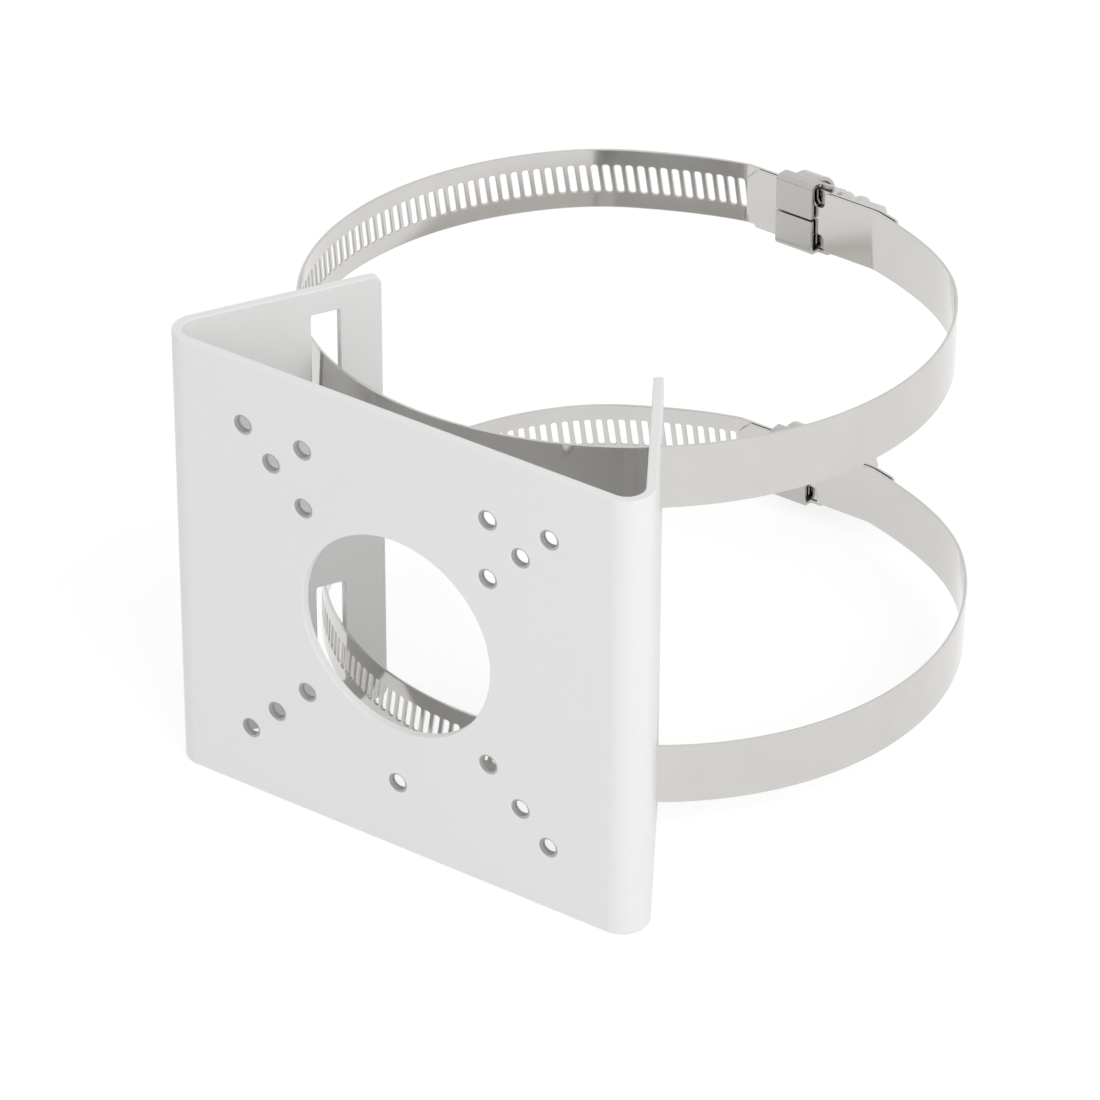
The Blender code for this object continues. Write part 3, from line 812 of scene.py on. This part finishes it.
def finish_piece(made, material, body, slot, *nodes):
    made.data.materials.append(material)
    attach(made, body)
    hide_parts(*nodes)


# Patterns of the pieces

def slot_corners(u, v, width, height, radius):
    a, b = width / 2, height / 2
    return [
        (u - a, v - b, radius), (u + a, v - b, radius),
        (u + a, v + b, radius), (u - a, v + b, radius),
    ]


def plate_pattern(sizes, fold):
    """Flat pattern of the plate: its rounded blank, the holes and the four slots."""
    half = fold.half_flat + fold.bend_length + sizes.flange - fold.flange_start
    rise = sizes.height / 2
    corner = sizes.rear_corner
    blank = rounded_outline([
        (-half, -rise, corner), (half, -rise, corner), (half, rise, corner), (-half, rise, corner)
    ], steps=8)
    loops = [blank, circle_outline(0.0, 0.0, sizes.centre_hole / 2, 128)]
    loops += [circle_outline(u, v, sizes.screw_hole / 2, 40) for u, v in hole_places(sizes)]
    slot_u = half - sizes.slot_to_rear
    for u in (-slot_u, slot_u):
        for v in (-sizes.slot_rise, sizes.slot_rise):
            corners = slot_corners(u, v, sizes.slot_width, sizes.slot_height, 0.5 * MM)
            loops.append(rounded_outline(corners, steps=4))
    return loops


def hole_places(sizes):
    """Centres of the small holes on the plate, from its middle."""
    spots = []
    for square in (sizes.outer_square, sizes.middle_square, sizes.inner_square):
        spots += [(u * square / 2, v * square / 2) for u in (-1, 1) for v in (-1, 1)]
    spots += [(u * sizes.inner_square / 2, sizes.upper_pair) for u in (-1, 1)]
    spots.append((0.0, -sizes.lower_hole))
    return spots


def tapped_sleeve(x, z, sizes):
    """Threads in one small hole: a closed sleeve round the hole's axis.

    Its inner radius is the core plus the thread's depth times a wave of y over the pitch
    less the turn; the wave is the distance from the nearest crest. Its outer side lies a
    little inside the sheet.
    """
    turn = np.linspace(0.0, 2 * math.pi, THREAD_STEPS, endpoint=False)
    y = np.linspace(THREAD_INSET, sizes.sheet - THREAD_INSET, THREAD_ROWS)
    wave = np.abs(2 * ((y[:, None] / sizes.thread_pitch - turn / (2 * math.pi)) % 1.0) - 1.0)
    core, outer = sizes.thread_core / 2, sizes.screw_hole / 2 + SLEEVE_OVERLAP
    inner = core + (sizes.screw_hole / 2 - core) * THREAD_FILL * wave
    end = np.full((1, THREAD_STEPS), outer)
    radius = np.concatenate([end, inner, end])
    depth = np.concatenate([y[:1], y, y[-1:]])[:, None] + 0.0 * radius
    points = np.stack([
        x + radius * np.cos(turn), depth, z + sizes.height / 2 + radius * np.sin(turn)
    ], axis=-1)
    rows, count = radius.shape
    a = np.arange(rows * count).reshape(rows, count)
    b, c = np.roll(a, -1, axis=1), np.roll(a, -1, axis=0)
    d = np.roll(b, -1, axis=0)
    return points.reshape(-1, 3), np.stack([a, c, d, b], axis=-1).reshape(-1, 4)


def slit_outline(u, band):
    """One slanted slit: a rectangle with round corners, sheared by the lean over its length."""
    corner = band.slit_width * 0.36
    corners = slot_corners(0.0, 0.0, band.slit_width, band.slit_length, corner)
    outline = rounded_outline(corners, steps=4)
    outline[:, 0] += u + band.slit_lean * outline[:, 1] / band.slit_length
    return outline


def band_pattern(ring, reach):
    """Flat pattern of one strip, from its free end to the notched and chamfered inner tip."""
    band = ring.band
    half = band.width / 2
    whole = 2 * math.pi * band.radius

    def on_flat(distance):
        return whole - math.atan2(distance, ring.flat_distance) * band.radius

    tail = -band.tail * band.radius
    tip = whole + band.flat_half * band.radius
    near, far = on_flat(band.neck_high), on_flat(band.neck_low)
    neck, cut = band.neck_half, band.tip_chamfer
    outer, inner = 0.5 * MM, 1.3 * MM
    lower = [
        (near, -half, outer), (near, -neck, inner), (far, -neck, inner), (far, -half, outer),
        (tip - cut, -half, outer), (tip, cut - half, outer),
    ]
    upper = [(u, -v, radius) for u, v, radius in reversed(lower)]
    start = 0.9 * MM
    strip = [(tail, -half, start)] + lower + upper + [(tail, half, start)]
    pitch = band.slit_pitch * band.radius
    first = tail + band.slit_margin
    count = int((reach - first / band.radius) / band.slit_pitch)
    slits = [slit_outline(first + (i + 0.5) * pitch, band) for i in range(count)]
    columns = np.arange(first, tip - cut, pitch / 2)
    return [rounded_outline(strip, steps=5)] + slits, columns


def housing_path(ring, housing, screw):
    """Middle of the housing's sheet in its section: leg, wall, shoulder, arch and back."""
    half_sheet = housing.sheet / 2
    leg = -ring.band.thickness / 2 - housing.under_gap - half_sheet
    wall = ring.band.width / 2 + housing.edge_gap + half_sheet
    shoulder = ring.layer_rise + ring.band.thickness / 2 + housing.over_gap + half_sheet
    arch = screw.crest + housing.arch_gap + half_sheet
    crown = ring.worm_rise + arch
    bend = housing.bend
    side = [
        (leg, housing.seam_gap / 2, 0.0), (leg, wall, bend), (shoulder, wall, bend),
        (shoulder, arch, bend), (crown, arch, arch * 0.999),
    ]
    other = [(h, -w, radius) for h, w, radius in reversed(side)]
    return SectionPath(side + other, 1.0 * MM), arch


def housing_pattern(ring, path, housing, arch):
    """Flat pattern of the housing: legs, shoulders and arch reach different lengths.

    The steps lie where the wall passes the outer layer and where the arch's bend begins.
    """
    step, k = path.length_at(0, ring.layer_rise)
    reach, _ = path.length_at(1, arch + housing.bend, k)
    total = path.total
    near, legs = -housing.start, -housing.legs_end
    shoulders, crown = -housing.shoulders_end, -housing.arch_end
    corner, edge = housing.step_corner, housing.end_corner
    corners = [
        (0.0, legs, edge), (step, legs, corner), (step, shoulders, corner),
        (reach, shoulders, corner), (reach, crown, corner), (total - reach, crown, corner),
        (total - reach, shoulders, corner), (total - step, shoulders, corner),
        (total - step, legs, corner), (total, legs, edge), (total, near, edge), (0.0, near, edge),
    ]
    return rounded_outline(corners, steps=5)


def housing_fold(ring, path):
    """Pattern carried along the section path: u by length on the path, v back along the flat."""
    def fold(u, v, depth):
        spot = path.place(u)
        heading = path.heading(u, 0.12 * MM)
        normal = np.stack([-heading[:, 1], heading[:, 0]], axis=1)
        spot = spot + depth[:, None] * normal
        place = ring.flat_place(-v, spot[:, 0], spot[:, 1])
        out = normal[:, :1] * ring.out + normal[:, 1:] * ring.axis
        along_u = heading[:, :1] * ring.out + heading[:, 1:] * ring.axis
        along_v = np.broadcast_to(-ring.along, out.shape)
        return place, along_u, along_v, out

    return fold


# Screws

def screw_places(ring, along, radius):
    """Rings of a turned piece: the worm's axis plus radius times cosine and sine of the turn."""
    rings, count = radius.shape
    turn = np.linspace(0.0, 2 * math.pi, count, endpoint=False)
    outward = ring.worm_rise + radius * np.cos(turn)
    up = radius * np.sin(turn)
    far = np.broadcast_to(along[:, None], (rings, count))
    places = ring.flat_place(far.ravel(), outward.ravel(), up.ravel())
    return places.reshape(rings, count, 3)


def worm_radius(screw, along):
    """Radius of the worm: root plus a ridge that follows along / lead minus turn / full turn.

    The ridge is a flat-topped wave. It fades out at both ends over half a lead.
    """
    turn = np.linspace(0.0, 1.0, screw.facets, endpoint=False)
    phase = (along[:, None] / screw.lead - turn[None, :]) % 1.0
    wave = np.clip((1.0 - np.abs(2 * phase - 1.0) - CREST_START) / CREST_SLOPE, 0.0, 1.0)
    wave = wave * wave * (3 - 2 * wave)
    start = np.clip((along - screw.worm_start) / (screw.lead * 0.5), 0.0, 1.0)
    end = np.clip((screw.worm_end - along) / (screw.lead * 0.5), 0.0, 1.0)
    fade = (np.minimum(start, end) ** 0.5)[:, None]
    return screw.root + (screw.crest - screw.root) * wave * fade


def build_worm(label, ring, screw):
    steps = int((screw.worm_end - screw.worm_start) / (0.12 * MM))
    along = np.linspace(screw.worm_start, screw.worm_end, steps)
    radius = worm_radius(screw, along)
    cap = screw.root * np.linspace(0.8, 1.0, 4)
    cap_at = np.full(4, screw.worm_start)
    neck = screw.neck * np.array([1.12, 1.0, 1.0])
    neck_at = np.array([screw.worm_end + 0.15 * MM, screw.worm_end + 0.5 * MM, screw.collar_start])
    every = np.ones(screw.facets)
    along = np.concatenate([cap_at, along, neck_at])
    radius = np.concatenate([np.outer(cap, every), radius, np.outer(neck, every)])
    made = turned_body("worm_thread_" + label, screw_places(ring, along, radius))
    made.data.set_sharp_from_angle(angle=math.radians(50))
    return made


def head_radius(screw, along):
    """Radius of collar and hexagon.

    The hexagon is a smooth one: half the width across flats divided by the 28th root of
    the sum of its three face distances to the 28th power. A cone trims its outer end.
    """
    turn = np.linspace(0.0, 2 * math.pi, screw.facets, endpoint=False)
    power = 28.0
    spread = sum(np.abs(np.cos(turn - k * math.pi / 3)) ** power for k in range(3))
    hexagon = screw.across_flats / 2 / spread ** (1 / power)
    cone = screw.across_flats / 2 + (screw.head_end - along) * 1.3 - 0.15 * MM
    return np.minimum(hexagon[None, :], cone[:, None])


def build_head(label, ring, screw):
    rounding = 0.3 * MM
    turn = np.linspace(0.0, math.pi / 2, 6)
    fall, swell = rounding * (1 - np.cos(turn)), rounding * (1 - np.sin(turn))
    collar_at = np.concatenate([screw.collar_start + fall, screw.collar_end - swell])
    collar = np.concatenate([screw.collar - swell, screw.collar - fall])
    collar = np.outer(collar, np.ones(screw.facets))
    hex_at = np.concatenate([
        np.array([screw.collar_end + 0.02 * MM]),
        np.linspace(screw.collar_end + 0.3 * MM, screw.head_end - 1.0 * MM, 5),
        np.linspace(screw.head_end - 0.85 * MM, screw.head_end, 8),
    ])
    body = head_radius(screw, hex_at)
    along = np.concatenate([collar_at, hex_at])
    radius = np.concatenate([collar, body])
    made = turned_body("screw_head_" + label, screw_places(ring, along, radius))
    cut_drive_slot(made, ring, screw)
    made.data.set_sharp_from_angle(angle=math.radians(32))
    return made


def cut_drive_slot(made, ring, screw):
    """Cuts the driver slot with a box across the head, and keeps the result as the mesh."""
    wide, deep = screw.drive_width / 2, screw.drive_depth
    reach = screw.across_flats
    corners = np.array([
        (a, h, w) for a in (-deep, deep) for h in (-reach, reach) for w in (-wide, wide)
    ])
    along, outward, up = corners.T
    places = ring.flat_place(screw.head_end + along, ring.worm_rise + outward, up)
    faces = [(0, 1, 3, 2), (4, 6, 7, 5), (0, 4, 5, 1), (2, 3, 7, 6), (0, 2, 6, 4), (1, 5, 7, 3)]
    cutter = mesh_piece("drive_slot_cutter", places, faces)
    modifier = made.modifiers.new("Drive Slot", "BOOLEAN")
    modifier.operation = "DIFFERENCE"
    modifier.object = cutter
    graph = bpy.context.evaluated_depsgraph_get()
    result = bpy.data.meshes.new_from_object(made.evaluated_get(graph))
    made.modifiers.clear()
    made.data = result
    bpy.data.objects.remove(cutter, do_unlink=True)


# Operators

class BRACKET_OT_plate(bpy.types.Operator):
    """Make the folded plate with its holes, slots and powder coat"""

    bl_idname = "bracket.plate"
    bl_label = "Folded Plate"

    def execute(self, context):
        sizes, finish = settings().plate, settings().finish
        fold = plate_fold(sizes)
        loops = plate_pattern(sizes, fold)
        bend = np.linspace(fold.half_flat, fold.half_flat + fold.bend_length, 25)
        columns = np.concatenate([-bend[::-1], bend])
        rows = np.linspace(-sizes.height / 2, sizes.height / 2, 42)[1:-1]
        made = folded_sheet(
            "folded_plate", loops, columns, rows, fold, sizes.sheet, sizes.rounding, 0.5 * MM
        )
        paint = powder_coat("powder_coat", tuple(finish.paint), finish.paint_roughness)
        finish_piece(made, paint, "bracket", "painted_steel", "bracket_plate")
        points, faces = zip(*[tapped_sleeve(x, z, sizes) for x, z in hole_places(sizes)])
        faces = [part + k * len(points[0]) for k, part in enumerate(faces)]
        made = mesh_piece("tapped_threads", np.concatenate(points), np.concatenate(faces).tolist())
        made.data.set_sharp_from_angle(angle=math.radians(40))
        # The thread walls get the darker colour: partly a bare-thread look, partly painted shade in the
        # holes' recesses
        wall = powder_coat("thread_walls_with_painted_shade", tuple(finish.thread), finish.paint_roughness)
        finish_piece(made, wall, "bracket", "painted_steel", "bracket_plate")
        return {"FINISHED"}


class BRACKET_OT_bands(bpy.types.Operator):
    """Make the two perforated clamp bands"""

    bl_idname = "bracket.bands"
    bl_label = "Clamp Bands"

    def execute(self, context):
        band, finish = settings().band, settings().finish
        steel = bright_steel("band_steel", tuple(finish.band), finish.band_roughness, 90.0, 0.02)
        reach = {"upper": band.slits_upper, "lower": band.slits_lower}
        for label in CLAMP_NAMES:
            ring = Ring(label, band, settings().screw)
            loops, columns = band_pattern(ring, reach[label])
            rows = np.linspace(-band.width / 2, band.width / 2, 8)[1:-1]
            made = folded_sheet(
                "clamp_band_" + label, loops, columns, rows, ring.fold,
                band.thickness, band.rounding, 0.35 * MM,
            )
            finish_piece(made, steel, "clamp_" + label, "band_stainless", "band_" + label)
        return {"FINISHED"}


class BRACKET_OT_housings(bpy.types.Operator):
    """Make the two wrapped housings that hold the worms"""

    bl_idname = "bracket.housings"
    bl_label = "Clamp Housings"

    def execute(self, context):
        housing, finish = settings().housing, settings().finish
        steel = bright_steel(
            "housing_steel", tuple(finish.housing), finish.housing_roughness, 40.0, 0.15
        )
        for label in CLAMP_NAMES:
            ring = Ring(label, settings().band, settings().screw)
            path, arch = housing_path(ring, housing, settings().screw)
            loop = housing_pattern(ring, path, housing, arch)
            rows = np.arange(-housing.shoulders_end, -housing.start, 0.8 * MM)
            made = folded_sheet(
                "clamp_housing_" + label, [loop], path.columns, rows,
                housing_fold(ring, path), housing.sheet, housing.rounding, 0.25 * MM,
            )
            finish_piece(made, steel, "clamp_" + label, "housing_stainless", "housing_" + label)
        return {"FINISHED"}


class BRACKET_OT_screws(bpy.types.Operator):
    """Make the two worm screws with their slotted hexagonal heads"""

    bl_idname = "bracket.screws"
    bl_label = "Worm Screws"

    def execute(self, context):
        screw, finish = settings().screw, settings().finish
        steel = plated_steel("screw_steel", tuple(finish.screw), finish.screw_roughness)
        for label in CLAMP_NAMES:
            ring = Ring(label, settings().band, screw)
            for made in (build_worm(label, ring, screw), build_head(label, ring, screw)):
                finish_piece(made, steel, "worm_" + label, "screw_steel", "screw_" + label)
        return {"FINISHED"}


# Stage

def background_rays(tree):
    """One for rays that see the background: from the camera, or by way of metal or glass."""
    rays = tree.nodes.new("ShaderNodeLightPath").outputs
    seen = math_node(tree, "MAXIMUM", rays["Is Camera Ray"], rays["Is Glossy Ray"])
    return math_node(tree, "MAXIMUM", seen, rays["Is Transmission Ray"])


def add_floor():
    """Plain pale floor that keeps the object's shadow, the same to the eye and in metal."""
    corners = ((-1, -1), (1, -1), (1, 1), (-1, 1))
    points = np.array([(x * FLOOR_HALF, y * FLOOR_HALF, -FLOOR_DROP) for x, y in corners])
    floor = mesh_piece("floor", points, [(0, 1, 2, 3)])
    material, tree, shader = new_material("pale_floor")
    output = tree.nodes["Material Output"]
    tree.nodes.remove(shader)
    seen = tree.nodes.new("ShaderNodeBsdfDiffuse")
    seen.inputs["Color"].default_value = (0.40, 0.40, 0.40, 1.0)
    glow = tree.nodes.new("ShaderNodeEmission")
    glow.inputs["Strength"].default_value = 0.70
    both = tree.nodes.new("ShaderNodeAddShader")
    tree.links.new(seen.outputs[0], both.inputs[0])
    tree.links.new(glow.outputs[0], both.inputs[1])
    plain = tree.nodes.new("ShaderNodeBsdfDiffuse")
    plain.inputs["Color"].default_value = (0.90, 0.90, 0.90, 1.0)
    mix = tree.nodes.new("ShaderNodeMixShader")
    tree.links.new(background_rays(tree), mix.inputs[0])
    tree.links.new(plain.outputs[0], mix.inputs[1])
    tree.links.new(both.outputs[0], mix.inputs[2])
    tree.links.new(mix.outputs[0], output.inputs["Surface"])
    floor.data.materials.append(material)


def studio_world(stage):
    """White to the camera and in metal, and plain even light on dull surfaces."""
    world = bpy.data.worlds.new("studio")
    world.use_nodes = True
    tree = world.node_tree
    background = tree.nodes["Background"]
    background.inputs["Color"].default_value = (1.0, 1.0, 1.0, 1.0)
    place = tree.nodes.new("ShaderNodeTexCoord")
    split = tree.nodes.new("ShaderNodeSeparateXYZ")
    tree.links.new(place.outputs["Generated"], split.inputs[0])
    dull = map_range(tree, split.outputs[2], stage.horizon, stage.zenith)
    white = tree.nodes.new("ShaderNodeMix")
    white.inputs["B"].default_value = 1.0
    tree.links.new(background_rays(tree), white.inputs["Factor"])
    tree.links.new(dull, white.inputs["A"])
    tree.links.new(white.outputs["Result"], background.inputs["Strength"])
    bpy.context.scene.world = world


def add_lamp(name, place, aim, size, power):
    lamp = bpy.data.lights.new(name, "AREA")
    lamp.size = size
    lamp.energy = power
    made = bpy.data.objects.new(name, lamp)
    made.location = place
    made.rotation_euler = (Vector(aim) - Vector(place)).to_track_quat("-Z", "Y").to_euler()
    made.visible_glossy = False
    bpy.context.scene.collection.objects.link(made)


def add_camera(stage):
    """Camera turned from its azimuth, elevation and roll, at its solved place."""
    data = bpy.data.cameras.new("camera")
    data.sensor_width = 36.0
    data.lens = stage.lens
    camera = bpy.data.objects.new("camera", data)
    a, e = stage.azimuth, stage.elevation
    forward = Vector((-math.sin(a) * math.cos(e), math.cos(a) * math.cos(e), -math.sin(e)))
    right = forward.cross(Vector((0.0, 0.0, 1.0))).normalized()
    right = Matrix.Rotation(stage.roll, 3, forward) @ right
    up = right.cross(forward)
    turned = Matrix((right, up, -forward)).transposed()
    camera.matrix_world = Matrix.Translation(Vector(stage.place)) @ turned.to_4x4()
    bpy.context.scene.collection.objects.link(camera)
    bpy.context.scene.camera = camera


class BRACKET_OT_stage(bpy.types.Operator):
    """Add the floor, the lights and the camera"""

    bl_idname = "bracket.stage"
    bl_label = "Stage"

    def execute(self, context):
        stage = settings().stage
        add_floor()
        studio_world(stage)
        add_lamp("side_lamp", (0.95, -0.38, 0.85), (0.0, 0.05, 0.05), 1.0, stage.side_light)
        add_camera(stage)
        bpy.context.scene.view_settings.view_transform = "Standard"
        return {"FINISHED"}


class BRACKET_PT_panel(bpy.types.Panel):
    """Lists the bracket's pieces and their sizes"""

    bl_label = "Pole Mount Bracket"
    bl_idname = "BRACKET_PT_panel"
    bl_space_type = "VIEW_3D"
    bl_region_type = "UI"
    bl_category = "Bracket"

    def draw(self, context):
        for operator in OPERATORS:
            self.layout.operator(operator.bl_idname)
        sizes = settings()
        groups = (sizes.plate, sizes.band, sizes.housing, sizes.screw, sizes.finish, sizes.stage)
        for group in groups:
            box = self.layout.box()
            for key in group.__annotations__:
                box.prop(group, key)


OPERATORS = (
    BRACKET_OT_plate,
    BRACKET_OT_bands,
    BRACKET_OT_housings,
    BRACKET_OT_screws,
    BRACKET_OT_stage,
)
CLASSES = (
    PlateSizes,
    BandSizes,
    HousingSizes,
    ScrewSizes,
    Finishes,
    StageSettings,
    BracketSettings,
) + OPERATORS + (BRACKET_PT_panel,)


def register():
    for item in CLASSES:
        bpy.utils.register_class(item)
    bpy.types.Scene.pole_bracket = PointerProperty(type=BracketSettings)


def unregister():
    del bpy.types.Scene.pole_bracket
    for item in reversed(CLASSES):
        bpy.utils.unregister_class(item)


def main():
    register()
    bpy.ops.bracket.plate()
    bpy.ops.bracket.bands()
    bpy.ops.bracket.housings()
    bpy.ops.bracket.screws()
    bpy.ops.bracket.stage()


if __name__ == "__main__":
    main()
